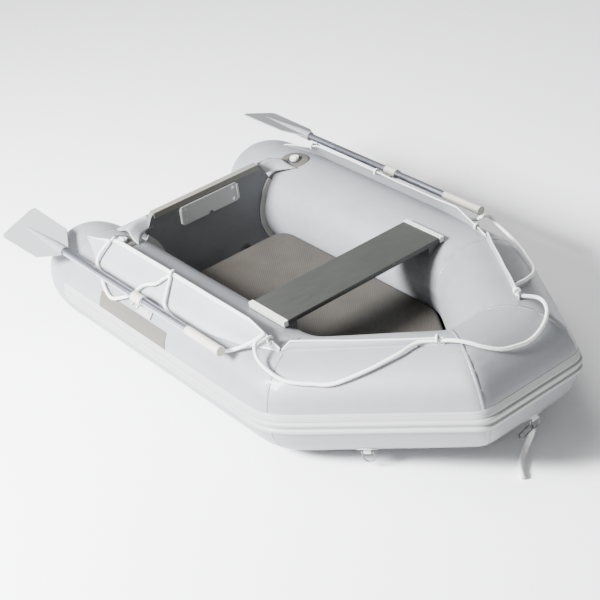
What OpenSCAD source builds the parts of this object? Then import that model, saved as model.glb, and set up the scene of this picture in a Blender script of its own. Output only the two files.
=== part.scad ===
// Inflatable dinghy: five-segment buoyancy collar, air deck, rigid transom, bench seat,
// two oars on swivelling oarlocks, grab lines and towing rings.
// +X is the bow, +Y is port, +Z is up. The origin is on the ground below the middle.

/* [Buoyancy tubes] */
// Outer radius of the buoyancy tubes
tube_r = 200; // [190:1:205]
// Distance of each side tube's axis from the centre plane
tube_y = 470; // [460:1:480]
// Thickness of the coated tube fabric
skin = 1.2; // [0.9:0.1:2]
// X of the rounded stern ends
stern_x = -1055; // [-1065:1:-1045]
// X where the rounded stern ends begin
cone_x = -810; // [-820:1:-800]
// X of the corner between a side tube and its angled bow tube
bend_x = 464; // [450:1:470]
// X of the corner between an angled bow tube and the front tube
nose_x = 975; // [965:1:985]
// Distance of that corner from the centre plane
nose_y = 124; // [118:1:130]
// Rise of the front tube above the side tubes
bow_rise = 88; // [82:1:92]

/* [Transom] */
// X of the middle of the transom board
transom_x = -692; // [-696:1:-690]
// Thickness of the transom board
transom_t = 25; // [22:1:25]
// Height of the transom's top edge
transom_z = 440; // [435:1:445]
// Half the width of the transom's top edge
transom_half = 285; // [280:1:290]
// Width of the engine mounting pads
pad_w = 300; // [280:10:320]
// Height of the engine mounting pads
pad_h = 84; // [80:1:90]

/* [Deck and bottom] */
// Height of the air deck's upper face
deck_z = 172; // [168:1:174]
// Thickness of the air deck
deck_t = 66; // [60:1:66]
// X of the air deck's aft edge
deck_aft_x = -555; // [-565:1:-545]
// Radius of the inflatable keel
keel_r = 46; // [40:1:46]

/* [Seat] */
// X of the seat's middle
seat_x = 225; // [215:1:235]
// Length of the seat board across the boat
seat_len = 790; // [780:1:800]
// Width of the seat board
seat_w = 205; // [190:1:210]
// Thickness of the seat board
seat_t = 20; // [18:1:22]

/* [Oars] */
// X of the oarlock pins
oarlock_x = -245; // [-250:1:-240]
// Lean of each oarlock pin from the vertical, outboard, in degrees
oarlock_lean = 42; // [41:0.5:43]
// Distance of the oar shaft's axis from the tube's axis
oar_h = 260; // [259:0.5:261]
// Radius of the oar shaft
shaft_r = 15; // [14:0.5:15]
// X of the joint between the shaft and its blade
blade_x = -783; // [-785:1:-780]
// X of the grip's end
grip_x = 281; // [270:1:285]
// Length of the oar blade
blade_len = 385; // [370:1:390]
// Width of the oar blade's tip
blade_w = 184; // [180:1:188]

/* [Ropes and rings] */
// Radius of the lifeline
line_r = 7; // [6.5:0.5:7]
// Radius of the painter
painter_r = 10; // [9:0.5:10]
// Radius of the towing rings' wire
ring_wire = 2.5; // [2:0.25:2.75]

/* [Hidden] */
$fn = 48;

// Gap between a piece and the tube that it is glued on
glue = 0.2;
// Radial clearance of a running fit
run_gap = 0.1;
// A length larger than the boat, for cutting tools
big = 1500;
// How far a tube runs past its corners before the mitre cut
over = 260;

// Corners of the collar on the starboard side, from stern to bow, then the first port corner
P = [
    [cone_x, -tube_y, tube_r],
    [bend_x, -tube_y, tube_r],
    [nose_x, -nose_y, tube_r + bow_rise],
    [nose_x, nose_y, tube_r + bow_rise]
];
function unit(v) = v / norm(v);
run_dir = [for (i = [0:2]) unit(P[i + 1] - P[i])];
run_len = [for (i = [0:2]) norm(P[i + 1] - P[i])];
aft_run = [-run_dir[1].x, run_dir[1].y, -run_dir[1].z];
// Normals of the mitre planes at the corners
cut_n = [[1, 0, 0], run_dir[0] + run_dir[1], run_dir[1] + run_dir[2], run_dir[2] + aft_run];

// Angles on a tube are measured from the outboard horizontal, upwards
// Span of the rub rail's strip
rail_from = -9.5;
rail_to = 17;
// Angles of the two round beads and their radius
beads = [2.6, -5.6];
bead_r = 8;
// Angles of the fine ribs above them
ribs = [9.5, 12, 14.5];
rib_r = 1;
rail_t = 1.5;

// Lifeline flaps as sections along a tube: distance along it, base angle, top edge's
// distance outboard of and above the tube's axis
side_flap = [
    [186, 55, 38, 248], [240, 55, 38, 271], [930, 56, 38, 271],
    [1100, 65, 38, 271], [1255, 80, 32, 208]
];
bow_flap = [[12, 85, 18, 243], [290, 84, 21, 234], [592, 84, 21, 227]];
flap_t = 4;
// Eyelets: distance below the flap's top edge, bore and outer radius
eye_drop = 15;
eye_bore = 8.2;
eye_r = 12;
side_eyes = [210, 625, 1205];
bow_eyes = [570];

// Aft and forward ends of the oarlock patch, and its span of angles
patch_x = [-555, -109];
patch_step = 17.6;
patch_high = 32.5;

// Oarlock pin, its rubber base and the sleeve on the shaft
pin_r = 6;
boss_r = 14;
boss_top = 234;
sleeve_r = 20;
sleeve_len = 64;
socket_len = 75;
grip_len = 205;

// Outline stations of the bottom fabric: x, half width, edge height, keel height
bottom = [
    [transom_x + transom_t / 2 + 10, 338, 46, 8],
    [bend_x - 42, 338, 46, 8],
    [bend_x + 110, 236, 75, 14],
    [bend_x + 220, 161, 94, 36],
    [bend_x + 310, 100, 110, 64],
    [bend_x + 375, 56, 121, 96]
];
bottom_t = 2;

// Half outline of the air deck, from aft to bow, on the starboard side
deck_corner = 60;
deck_half = 269;
deck_side_x = 395;
deck_nose = [712, 68];
deck_tip_x = 770;

// Towing rings: bar half length, drop below the bar, and the places of the side rings
ring_half = 22;
ring_drop = 20;
side_ring_angle = -52;
side_ring_run = 258;
bar_h = tube_r + 10;
strap_r = 7;
// Angle of the bow ring's patch on the front tube, and the middle of its bar
bow_ring_angle = -48;
bow_ring_at = [
    nose_x + bar_h * cos(bow_ring_angle),
    50,
    tube_r + bow_rise + bar_h * sin(bow_ring_angle)
];

// Snap hook: half length between its arcs, arc radius and wire radius
hook_half = 20;
hook_r = 11;
hook_wire = 3;
hook_at = [bow_ring_at.x, bow_ring_at.y - 24.5, bow_ring_at.z - 28];

// Lifeline route on the starboard side, stern to bow, in a half that port mirrors
line_side = [
    [-598, -530, 462], [-620, -562, 424], [-628, -590, 382], [-565, -616, 358],
    [-515, -638, 330], [-455, -650, 313], [-400, -638, 330], [-348, -616, 356],
    [-308, -580, 396], [-245, -562, 420], [-183, -530, 462], [-165, -562, 422],
    [-150, -592, 380], [-75, -608, 362], [30, -613, 357], [130, -616, 353],
    [232, -613, 357], [325, -578, 400], [402, -532, 460], [398, -572, 444],
    [424, -592, 408], [486, -593, 379], [557, -578, 363], [654, -526, 367],
    [706, -492, 374], [785, -406, 418], [843, -309, 461], [869, -232, 484]
];
// Lifeline across the bow, starboard to port
line_bow = [
    [922, -187, 492], [975, -160, 502], [1012, -137, 498], [1051, -111, 487],
    [1088, -66, 470], [1104, -7, 460], [1109, 43, 455], [1103, 98, 461],
    [1083, 153, 472], [1042, 204, 480], [988, 226, 485], [922, 187, 492]
];
line_port = [for (i = [len(line_side) - 1:-1:0]) [line_side[i].x, -line_side[i].y, line_side[i].z]];
line_route = concat(line_side, line_bow, line_port);
// Painter route from the bow ring down to the ground
painter_route = [
    [1116, 42, 93], [1116, 32, 76], [1118, 14, 54], [1122, -8, 32],
    [1134, -38, 15], [1156, -66, 11], [1178, -86, 11], [1204, -106, 11]
];

// Children placed at a point with local X along a direction
module aim(from, dir)
    translate(from)
        rotate([0, -asin(dir.z / norm(dir)), atan2(dir.y, dir.x)])
            children();

// Everything past a plane
module beyond(from, dir)
    aim(from, dir)
        translate([0, -big, -big])
            cube([big, 2 * big, 2 * big]);

// A section drawn as [inboard, up], run along X
module run(len)
    rotate([90, 0, 90])
        linear_extrude(len)
            children();

// A section run along one segment of the collar and cut at both mitres
module segment(i)
    difference() {
        aim(P[i], run_dir[i])
            translate([-over, 0, 0])
                run(run_len[i] + 2 * over)
                    children();
        beyond(P[i], -cut_n[i]);
        beyond(P[i + 1], cut_n[i + 1]);
    }

module port()
    mirror([0, 1, 0])
        children();

module both() {
    children();
    port()
        children();
}

// A point on a tube's section at an angle from the outboard horizontal
function on_tube(angle, r) = [-r * cos(angle), r * sin(angle)];

// Part of a ring between two radii and two angles, as a section
module sector(r0, r1, a0, a1)
    difference() {
        intersection() {
            circle(r1, $fn = 96);
            polygon([
                [0, 0],
                on_tube(a0, 2 * r1),
                on_tube((a0 + a1) / 2, 2 * r1),
                on_tube(a1, 2 * r1)
            ]);
        }
        circle(r0, $fn = 96);
    }

// Children in the frame of the starboard side tube's axis at a station
module on_side(x)
    translate([x, -tube_y, tube_r])
        children();

// Local Z leans outboard, square to the tube's surface
module oarlock_frame()
    on_side(oarlock_x)
        rotate([oarlock_lean, 0, 0])
            children();

// Local Z points out of the tube's surface at an angle, at a distance along a segment
module on_surface(i, along, angle)
    aim(P[i], run_dir[i])
        translate([along, 0, 0])
            rotate([90 - angle, 0, 0])
                children();

module tube_wall()
    difference() {
        circle(tube_r, $fn = 96);
        circle(tube_r - skin, $fn = 96);
    }

// Buoyancy tubes -----------------------------------------------------------------------

module tube_side()
    color([0.84, 0.85, 0.87])
        difference() {
            segment(0)
                tube_wall();
            on_side(valve_x)
                rotate([-valve_lean, 0, 0])
                    cylinder(r = valve_bore + 0.5, h = 2 * tube_r);
        }

module tube_side_starboard()
    tube_side();

module tube_side_port()
    port()
        tube_side();

// Profile of a rounded stern end, a superellipse
end_power = 2.6;
end_steps = 12;
function end_profile(r, l) = [
    for (i = [0:end_steps])
        let (s = i / end_steps)
        [r * pow(1 - pow(s, end_power), 1 / end_power), l * s]
];

module stern_end()
    color([0.82, 0.83, 0.85])
        on_side(cone_x)
            rotate([0, -90, 0])
                difference() {
                    rotate_extrude($fn = 96)
                        polygon(concat([[0, 0]], end_profile(tube_r, cone_x - stern_x)));
                    translate([0, 0, -1])
                        cylinder(r = tube_r - skin, h = 1 + skin, $fn = 96);
                    translate([0, 0, skin / 2])
                        rotate_extrude($fn = 96)
                            polygon(concat(
                                [[0, 0]],
                                end_profile(tube_r - skin, cone_x - stern_x - 2 * skin)
                            ));
                }

module stern_end_starboard()
    stern_end();

module stern_end_port()
    port()
        stern_end();

module tube_bow()
    color([0.84, 0.85, 0.87])
        segment(1)
            tube_wall();

module tube_bow_starboard()
    tube_bow();

module tube_bow_port()
    port()
        tube_bow();

module tube_bow_front()
    color([0.78, 0.79, 0.79])
        segment(2)
            tube_wall();

// Fabric wall between the port and starboard air chambers
module air_baffle()
    color([0.7, 0.7, 0.7])
        translate([nose_x, 0, tube_r + bow_rise])
            rotate([90, 0, 0])
                cylinder(r = tube_r - skin - glue, h = skin, center = true, $fn = 96);

// Rub rail -----------------------------------------------------------------------------

module rail_section() {
    sector(tube_r + glue, tube_r + glue + rail_t, rail_from, rail_to);
    difference() {
        union() {
            for (a = beads)
                translate(on_tube(a, tube_r + rail_t))
                    circle(bead_r, $fn = 32);
            for (a = ribs)
                translate(on_tube(a, tube_r + rail_t))
                    circle(rib_r, $fn = 16);
        }
        circle(tube_r + glue, $fn = 96);
    }
}

module rub_rail(i)
    color([0.9, 0.9, 0.87])
        segment(i)
            rail_section();

module rub_rail_starboard()
    rub_rail(0);

module rub_rail_port()
    port()
        rub_rail(0);

module rub_rail_bow_starboard()
    rub_rail(1);

module rub_rail_bow_port()
    port()
        rub_rail(1);

module rub_rail_front()
    rub_rail(2);

// Bottom, keel and deck ----------------------------------------------------------------

function bottom_ring(s, dz) = [
    [s[0], -s[1], s[2] - dz],
    [s[0], 0, s[3] - dz],
    [s[0], s[1], s[2] - dz]
];

// V-shaped hull bottom, three points across its upper and its lower face at each station
module bottom_fabric()
    color([0.62, 0.63, 0.63]) {
        n = len(bottom);
        points = [for (s = bottom) for (q = concat(bottom_ring(s, 0), bottom_ring(s, bottom_t))) q];
        strips = [
            for (i = [0:n - 2])
                let (a = 6 * i, b = 6 * i + 6)
                each [
                    [a, a + 1, b + 1], [a, b + 1, b], [a + 1, a + 2, b + 2], [a + 1, b + 2, b + 1],
                    [a + 3, b + 4, a + 4], [a + 3, b + 3, b + 4], [a + 4, b + 5, a + 5],
                    [a + 4, b + 4, b + 5], [a, b, b + 3], [a, b + 3, a + 3], [a + 2, b + 5, b + 2],
                    [a + 2, a + 5, b + 5]
                ]
        ];
        z = 6 * (n - 1);
        ends = [
            [0, 3, 4], [0, 4, 1], [1, 4, 5], [1, 5, 2],
            [z, z + 4, z + 3], [z, z + 1, z + 4], [z + 1, z + 5, z + 4], [z + 1, z + 2, z + 5]
        ];
        polyhedron(points, concat(strips, ends));
    }

keel_aft_x = -610;
keel_bow_x = 440;
keel_z = 12 + keel_r;

module keel_tube()
    color([0.55, 0.56, 0.56])
        translate([keel_aft_x, 0, keel_z])
            rotate([0, 90, 0])
                difference() {
                    cylinder(r = keel_r, h = keel_bow_x - keel_aft_x);
                    translate([0, 0, skin])
                        cylinder(r = keel_r - skin, h = keel_bow_x - keel_aft_x - 2 * skin);
                }

// Points of an arc about a centre
function arc(c, r, a0, a1, n) = [
    for (i = [0:n])
        let (a = a0 + (a1 - a0) * i / n)
        c + r * [cos(a), sin(a)]
];

// Outline of the deck, drawn in by a margin
module deck_outline(inset) {
    half = concat(
        arc([deck_aft_x + deck_corner, -deck_half + deck_corner], deck_corner - inset, 180, 270, 5),
        [[deck_side_x, -deck_half + inset]],
        [[deck_nose.x - inset, -deck_nose.y + inset / 2]],
        [[deck_tip_x - inset, -deck_nose.y / 2]]
    );
    other = [for (i = [len(half) - 1:-1:0]) [half[i].x, -half[i].y]];
    polygon(concat(half, other));
}

module air_deck()
    color([0.45, 0.42, 0.38])
        difference() {
            translate([0, 0, deck_z - deck_t])
                linear_extrude(deck_t)
                    deck_outline(0);
            translate([0, 0, deck_z - deck_t + skin])
                linear_extrude(deck_t - 2 * skin)
                    deck_outline(2 * skin);
            translate([deck_valve_x, 0, deck_z - valve_depth])
                cylinder(r = valve_bore + 0.5, h = 2 * valve_depth);
        }

// Air valves ---------------------------------------------------------------------------

// Bore radius, flange radius and depth of a recessed air valve
valve_bore = 17;
valve_flange = 28;
valve_depth = 40;
valve_x = -655;
// Lean of the tubes' valves inboard from the vertical, in degrees
valve_lean = 6;
deck_valve_x = 640;
cap_r = 20;
cap_h = 9;
flange_t = 3;
flange_lift = 1;

// Valve standing on Z = 0 with its cup below
module valve_body()
    color([0.3, 0.3, 0.3]) {
        difference() {
            union() {
                translate([0, 0, flange_lift])
                    cylinder(r = valve_flange, h = flange_t);
                translate([0, 0, -valve_depth + 5])
                    cylinder(r = valve_bore, h = valve_depth - 5 + flange_lift + flange_t);
            }
            translate([0, 0, -valve_depth + 9])
                cylinder(r = valve_bore - 3, h = valve_depth);
        }
    }

// Cap with a finger bar, screwed into the cup
module valve_cap()
    color([0.75, 0.75, 0.73]) {
        translate([0, 0, flange_lift + flange_t + 0.3])
            cylinder(r = cap_r, h = cap_h);
        translate([0, 0, -12])
            cylinder(r = valve_bore - 3 - run_gap, h = 12 + flange_lift + flange_t + 1);
        translate([-cap_r * 0.8, -2.5, flange_lift + flange_t + cap_h])
            cube([cap_r * 1.6, 5, 5]);
    }

module on_valve()
    on_side(valve_x)
        rotate([-valve_lean, 0, 0])
            translate([0, 0, tube_r])
                children();

module valve_body_starboard()
    on_valve()
        valve_body();

module valve_cap_starboard()
    on_valve()
        valve_cap();

module valve_body_port()
    port()
        on_valve()
            valve_body();

module valve_cap_port()
    port()
        on_valve()
            valve_cap();

module deck_valve_body()
    translate([deck_valve_x, 0, deck_z])
        valve_body();

module deck_valve_cap()
    translate([deck_valve_x, 0, deck_z])
        valve_cap();

// Transom ------------------------------------------------------------------------------

// Clearance radius of the tubes' holders at the transom, and the height of their lips
holder_r = tube_r + 4;
holder_lip = 20;
// Outline of the board below its top corners, as distance from the middle and height
shoulder = [326, 352];
foot_half = 345;
foot_z = 48;
keel_line = 14;
bolt_r = 4;
// Centre height of the engine pads
pad_z = 372;
bolt_y = pad_w / 2 - 28;
bolt_dz = pad_h / 2 - 16;
bolt_head_r = 7.5;
bolt_head_h = 4;
pad_inner_t = 8;
pad_outer_t = 10;
// Drain: place, bore and flange
drain_y = 150;
drain_z = 78;
drain_r = 12;
// Radius of the tool that keeps a piece clear of both side tubes
module clear_tubes(r)
    both()
        on_side(-big)
            rotate([0, 90, 0])
                cylinder(r = r, h = 2 * big, $fn = 96);

module bolt_holes(r)
    for (y = [-bolt_y, bolt_y], dz = [-bolt_dz, bolt_dz])
        translate([transom_x, y, pad_z + dz])
            rotate([0, 90, 0])
                cylinder(r = r, h = 100, center = true);

// Sinks for the bolt heads in both pads' outer faces
module head_sinks() {
    aft = transom_x - transom_t / 2 - glue - pad_outer_t;
    fore = transom_x + transom_t / 2 + glue + pad_inner_t;
    for (y = [-bolt_y, bolt_y], dz = [-bolt_dz, bolt_dz], x = [aft, fore])
        translate([x, y, pad_z + dz])
            rotate([0, 90, 0])
                cylinder(r = bolt_head_r + glue, h = 2 * (bolt_head_h + 1), center = true);
}

module transom_board()
    color([0.3, 0.3, 0.28])
        difference() {
            translate([transom_x - transom_t / 2, 0, 0])
                run(transom_t)
                    polygon([
                        [-transom_half, transom_z - 12], [-transom_half + 12, transom_z],
                        [transom_half - 12, transom_z], [transom_half, transom_z - 12],
                        [shoulder.x, shoulder.y], [foot_half, tube_r], [foot_half, foot_z],
                        [0, keel_line], [-foot_half, foot_z], [-foot_half, tube_r],
                        [-shoulder.x, shoulder.y]
                    ]);
            clear_tubes(holder_r + glue);
            bolt_holes(bolt_r + glue);
            translate([transom_x - transom_t, drain_y, drain_z])
                rotate([0, 90, 0])
                    cylinder(r = drain_r + 4, h = 2 * transom_t);
        }

cap_wall = 3;
cap_drop = 22;

module transom_cap()
    color([0.62, 0.6, 0.54])
        difference() {
            translate([transom_x - transom_t / 2 - cap_wall, 14 - transom_half, transom_z - cap_drop])
                cube([transom_t + 2 * cap_wall, 2 * transom_half - 28, cap_drop + cap_wall]);
            translate([transom_x - transom_t / 2 - glue, -transom_half, transom_z - big])
                cube([transom_t + 2 * glue, 2 * transom_half, big + glue]);
        }

module pad_plate(t)
    difference() {
        run(t)
            polygon([
                [-pad_w / 2, -pad_h / 2 + 10], [-pad_w / 2 + 10, -pad_h / 2],
                [pad_w / 2 - 10, -pad_h / 2], [pad_w / 2, -pad_h / 2 + 10],
                [pad_w / 2, pad_h / 2 - 10], [pad_w / 2 - 10, pad_h / 2],
                [-pad_w / 2 + 10, pad_h / 2], [-pad_w / 2, pad_h / 2 - 10]
            ]);
        translate([-1, 0, -pad_h / 2])
            rotate([0, 90, 0])
                cylinder(r = 11, h = t + 2);
    }

module motor_pad_inner()
    color([0.62, 0.63, 0.62])
        difference() {
            union() {
                translate([transom_x + transom_t / 2 + glue, 0, pad_z])
                    pad_plate(pad_inner_t);
                for (y = [-1, 1])
                    translate([
                        transom_x + transom_t / 2 + pad_inner_t,
                        y * (pad_w / 2 - 5) - 4,
                        pad_z - pad_h / 2 + 10
                    ])
                        cube([5, 8, pad_h - 20]);
            }
            bolt_holes(bolt_r + glue);
            head_sinks();
        }

module motor_pad_outer()
    color([0.35, 0.35, 0.35])
        difference() {
            translate([transom_x - transom_t / 2 - pad_outer_t - glue, 0, pad_z])
                pad_plate(pad_outer_t);
            bolt_holes(bolt_r + glue);
            head_sinks();
        }

// Four bolts, their round heads sunk 0.8 mm below the pads' faces
module pad_bolts()
    color([0.75, 0.75, 0.76]) {
        grip = transom_t + pad_outer_t + pad_inner_t + 2 * glue - 1.6;
        for (y = [-bolt_y, bolt_y], dz = [-bolt_dz, bolt_dz])
            translate([transom_x - transom_t / 2 - pad_outer_t - glue + 0.8, y, pad_z + dz])
                rotate([0, 90, 0]) {
                    cylinder(r = bolt_r, h = grip);
                    cylinder(r = bolt_head_r, h = bolt_head_h);
                    translate([0, 0, grip - bolt_head_h])
                        cylinder(r = bolt_head_r, h = bolt_head_h);
                }
    }

// Extruded seat for the transom's edge, glued to the tube, with a lip each side of the board
module transom_holder()
    color([0.6, 0.59, 0.55]) {
        lip = 7;
        mouth = transom_t / 2 + glue;
        half = mouth + lip;
        rim = holder_r + holder_lip;
        on_side(transom_x)
            rotate([0, 90, 0])
                rotate([0, 0, 48])
                    rotate_extrude(angle = 88, $fn = 96)
                        polygon([
                            [tube_r + glue, -half], [rim, -half], [rim, -mouth], [holder_r, -mouth],
                            [holder_r, mouth], [rim, mouth], [rim, half], [tube_r + glue, half]
                        ]);
    }

module transom_holder_starboard()
    transom_holder();

module transom_holder_port()
    port()
        transom_holder();

// Fabric gussets from the transom's upper corners to the tops of the side tubes
wing_t = 2.4;

module transom_wings()
    color([0.8, 0.8, 0.8])
        both()
            difference() {
                translate([transom_x - wing_t / 2, 0, 0])
                    run(wing_t)
                        polygon([
                            [-shoulder.x - 1, shoulder.y], [-transom_half - 1, transom_z - 8],
                            [-transom_half - 50, 421], [-transom_half - 100, 411],
                            [-tube_y + 20, 402], [-tube_y + 40, 385]
                        ]);
                clear_tubes(holder_r + glue);
            }

module drain_body()
    color([0.25, 0.25, 0.25])
        translate([transom_x, drain_y, drain_z])
            rotate([0, 90, 0])
                difference() {
                    union() {
                        cylinder(r = drain_r + 3.8, h = transom_t + 1, center = true);
                        for (s = [-1, 1])
                            translate([0, 0, s * (transom_t / 2 + 2.2)])
                                cylinder(r = drain_r + 12, h = 4, center = true);
                    }
                    cylinder(r = drain_r, h = 2 * transom_t, center = true);
                }

module drain_plug()
    color([0.12, 0.12, 0.12])
        translate([transom_x - transom_t / 2 - 4.5, drain_y, drain_z])
            rotate([0, 90, 0]) {
                cylinder(r = drain_r - run_gap, h = 24);
                translate([0, 0, -6])
                    cylinder(r = drain_r + 5, h = 6);
                translate([0, 0, -16])
                    cylinder(r = 5, h = 11);
            }

// Lifeline flaps and their eyelets -----------------------------------------------------

// Sections of a flap at any distance along its tube
function column(table, k) = [for (row = table) [row[0], row[k]]];
function flap_base(table, s) =
    let (a = lookup(s, column(table, 1)))
    (tube_r + 2) * [cos(a), sin(a)];
function flap_top(table, s) = [lookup(s, column(table, 2)), lookup(s, column(table, 3))];
function flap_rise(table, s) = unit(flap_top(table, s) - flap_base(table, s));
function flap_out(table, s) = let (r = flap_rise(table, s)) [r.y, -r.x];
function inboard(p) = [-p.x, p.y];

// Thin slice of a flap, square to the tube
module flap_slice(table, s) {
    out = flap_t * flap_out(table, s);
    base = flap_base(table, s);
    top = flap_top(table, s);
    translate([s, 0, 0])
        run(1)
            polygon([inboard(base), inboard(top), inboard(top + out), inboard(base + out)]);
}

// Children at an eyelet, local Y up the flap and local Z out of its face
module at_eye(i, table, s) {
    at = flap_top(table, s) - eye_drop * flap_rise(table, s);
    out = flap_out(table, s);
    aim(P[i], run_dir[i])
        translate([s, -at.x, at.y])
            rotate([90 - atan2(out.y, out.x), 0, 0])
                children();
}

module flap(i, table, eyes)
    color([0.88, 0.89, 0.91])
        difference() {
            aim(P[i], run_dir[i])
                for (k = [0:len(table) - 2])
                    hull() {
                        flap_slice(table, table[k][0]);
                        flap_slice(table, table[k + 1][0]);
                    }
            for (s = eyes)
                at_eye(i, table, s)
                    cylinder(r = eye_r - 2 + glue, h = 30, center = true);
        }

module flap_side_starboard()
    flap(0, side_flap, side_eyes);

module flap_side_port()
    port()
        flap(0, side_flap, side_eyes);

module flap_bow_starboard()
    flap(1, bow_flap, bow_eyes);

module flap_bow_port()
    port()
        flap(1, bow_flap, bow_eyes);

module at_all_eyes()
    both() {
        for (s = side_eyes)
            at_eye(0, side_flap, s)
                children();
        for (s = bow_eyes)
            at_eye(1, bow_flap, s)
                children();
    }

module eyelet()
    translate([0, 0, flap_t / 2])
        difference() {
            union() {
                cylinder(r = eye_r - 2, h = flap_t + 2, center = true);
                for (s = [-1, 1])
                    translate([0, 0, s * (flap_t / 2 + 0.7 + glue)])
                        cylinder(r = eye_r, h = 1.4, center = true);
            }
            cylinder(r = eye_bore, h = 30, center = true);
        }

module flap_eyelets()
    color([0.7, 0.7, 0.68])
        at_all_eyes()
            eyelet();

// A turn of the lifeline through an eyelet and over the flap's edge
hitch_r = 10;
hitch_wire = 5;

module lifeline_hitches()
    color([0.93, 0.93, 0.92])
        at_all_eyes()
            translate([0, eye_drop - 4, flap_t / 2])
                rotate([0, 90, 0])
                    rotate_extrude($fn = 32)
                        translate([hitch_r, 0])
                            circle(hitch_wire, $fn = 16);

// Oarlocks and oars --------------------------------------------------------------------

module oarlock_patches()
    color([0.73, 0.71, 0.68])
        both()
            on_side(patch_x[0])
                run(patch_x[1] - patch_x[0]) {
                    sector(tube_r + glue, tube_r + 1.4, patch_step, patch_high);
                    sector(tube_r + glue, tube_r + 4.4, patch_step, patch_step + 0.5);
                    sector(tube_r + 3.2, tube_r + 4.4, 9, patch_step + 0.5);
                }

module oarlock_base()
    color([0.72, 0.72, 0.7])
        difference() {
            union() {
                on_side(oarlock_x - 45)
                    run(90)
                        sector(tube_r + 1.6, tube_r + 7, 34, 51.5);
                oarlock_frame()
                    translate([0, 0, tube_r - 10])
                        cylinder(r = boss_r, h = boss_top - tube_r + 10);
            }
            on_side(oarlock_x - 100)
                rotate([0, 90, 0])
                    cylinder(r = tube_r + 1.6, h = 200, $fn = 96);
            oarlock_frame()
                translate([0, 0, tube_r + 5])
                    cylinder(r = pin_r + run_gap, h = 60);
        }

module oarlock_base_starboard()
    oarlock_base();

module oarlock_base_port()
    port()
        oarlock_base();

// Pin with the sleeve that carries the shaft and two lashing ears
module oarlock()
    color([0.86, 0.84, 0.76])
        oarlock_frame()
            difference() {
                union() {
                    translate([0, 0, tube_r + 6])
                        cylinder(r = pin_r, h = oar_h - tube_r - 6);
                    translate([0, 0, boss_top + 0.4])
                        cylinder(r = 12, h = oar_h - boss_top - 6);
                    translate([-sleeve_len / 2, 0, oar_h])
                        rotate([0, 90, 0])
                            cylinder(r = sleeve_r, h = sleeve_len);
                    for (x = [-22, 14])
                        translate([x, -sleeve_r - 14, oar_h - 4])
                            cube([8, 20, 8]);
                }
                translate([-sleeve_len, 0, oar_h])
                    rotate([0, 90, 0])
                        cylinder(r = shaft_r + run_gap, h = 2 * sleeve_len);
            }

module oarlock_starboard()
    oarlock();

module oarlock_port()
    port()
        oarlock();

// Oar parts lie along X in the oarlock's frame
module oar_frame()
    oarlock_frame()
        translate([-oarlock_x, 0, oar_h])
            children();

module oar_shaft()
    color([0.72, 0.75, 0.8])
        oar_frame() {
            difference() {
                translate([blade_x - socket_len, 0, 0])
                    rotate([0, 90, 0])
                        cylinder(r = shaft_r, h = grip_x - blade_x + socket_len - 12);
                translate([blade_x - socket_len + 2, 0, 0])
                    rotate([0, 90, 0])
                        cylinder(r = shaft_r - 1.5, h = grip_x - blade_x + socket_len - 16);
            }
            // Stop rings either side of the sleeve
            for (x = [-1, 1])
                translate([oarlock_x + x * (sleeve_len / 2 + 6), 0, 0])
                    rotate([0, 90, 0])
                        difference() {
                            cylinder(r = 18, h = 8, center = true);
                            cylinder(r = shaft_r - 0.2, h = 10, center = true);
                        }
        }

module oar_shaft_starboard()
    oar_shaft();

module oar_shaft_port()
    port()
        oar_shaft();

blade_neck = 18;
blade_t = 5;
// Depth of the blade's shoulders and radius of its tip corners
blade_shoulder = 108;
blade_round = 24;
// Turn of the blade about its shaft as stowed, in degrees
blade_turn = -22;

// Flat blade with rounded tip corners, a round socket and a raised spine
module oar_blade()
    color([0.79, 0.79, 0.8])
        oar_frame()
            rotate([blade_turn, 0, 0]) {
                w = blade_w / 2;
                c = blade_round;
                tip = blade_x - blade_len;
                cone_start = blade_x - socket_len - 5;
                half = concat(
                    [
                        [blade_x - 2, blade_neck],
                        [blade_x - 16, blade_neck + 12],
                        [blade_x - blade_shoulder, w - 6]
                    ],
                    arc([tip + c, w - c], c, 80, 180, 6)
                );
                other = [for (i = [len(half) - 1:-1:0]) [half[i].x, -half[i].y]];
                difference() {
                    union() {
                        translate([0, 0, -blade_t / 2])
                            linear_extrude(blade_t)
                                polygon(concat(half, other));
                        translate([blade_x, 0, 0])
                            rotate([0, -90, 0])
                                cylinder(r1 = 20, r2 = 18.5, h = socket_len + 5);
                        translate([cone_start, 0, 0])
                            rotate([0, -90, 0])
                                cylinder(r1 = 18.5, r2 = 3, h = blade_len - socket_len - 60);
                    }
                    translate([blade_x - socket_len - 0.2, 0, 0])
                        rotate([0, 90, 0])
                            cylinder(r = shaft_r + 0.05, h = 200);
                }
            }

module oar_blade_starboard()
    oar_blade();

module oar_blade_port()
    port()
        oar_blade();

module oar_grip()
    color([0.85, 0.83, 0.77])
        oar_frame()
            difference() {
                union() {
                    translate([grip_x - grip_len, 0, 0])
                        rotate([0, 90, 0])
                            cylinder(r = 17, h = grip_len - 6);
                    translate([grip_x - 8, 0, 0])
                        rotate([0, 90, 0])
                            cylinder(r = 19, h = 8);
                }
                translate([grip_x - grip_len - 1, 0, 0])
                    rotate([0, 90, 0])
                        cylinder(r = shaft_r + 0.05, h = grip_len - 10);
            }

module oar_grip_starboard()
    oar_grip();

module oar_grip_port()
    port()
        oar_grip();

// Seat ---------------------------------------------------------------------------------

seat_z = 388;

// Rubber blocks glued on the tubes' shoulders below the seat
module seat_rests()
    color([0.3, 0.3, 0.28])
        both()
            difference() {
                translate([seat_x - seat_w / 2 + 12, -seat_len / 2 + 6, seat_z - 50])
                    cube([seat_w - 24, 62, 50 - 0.3]);
                clear_tubes(tube_r + glue);
            }

module seat_board()
    color([0.42, 0.43, 0.4])
        translate([seat_x - seat_w / 2, 0, seat_z])
            translate([0, 20 - seat_len / 2, 0])
                cube([seat_w, seat_len - 40, seat_t]);

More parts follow.
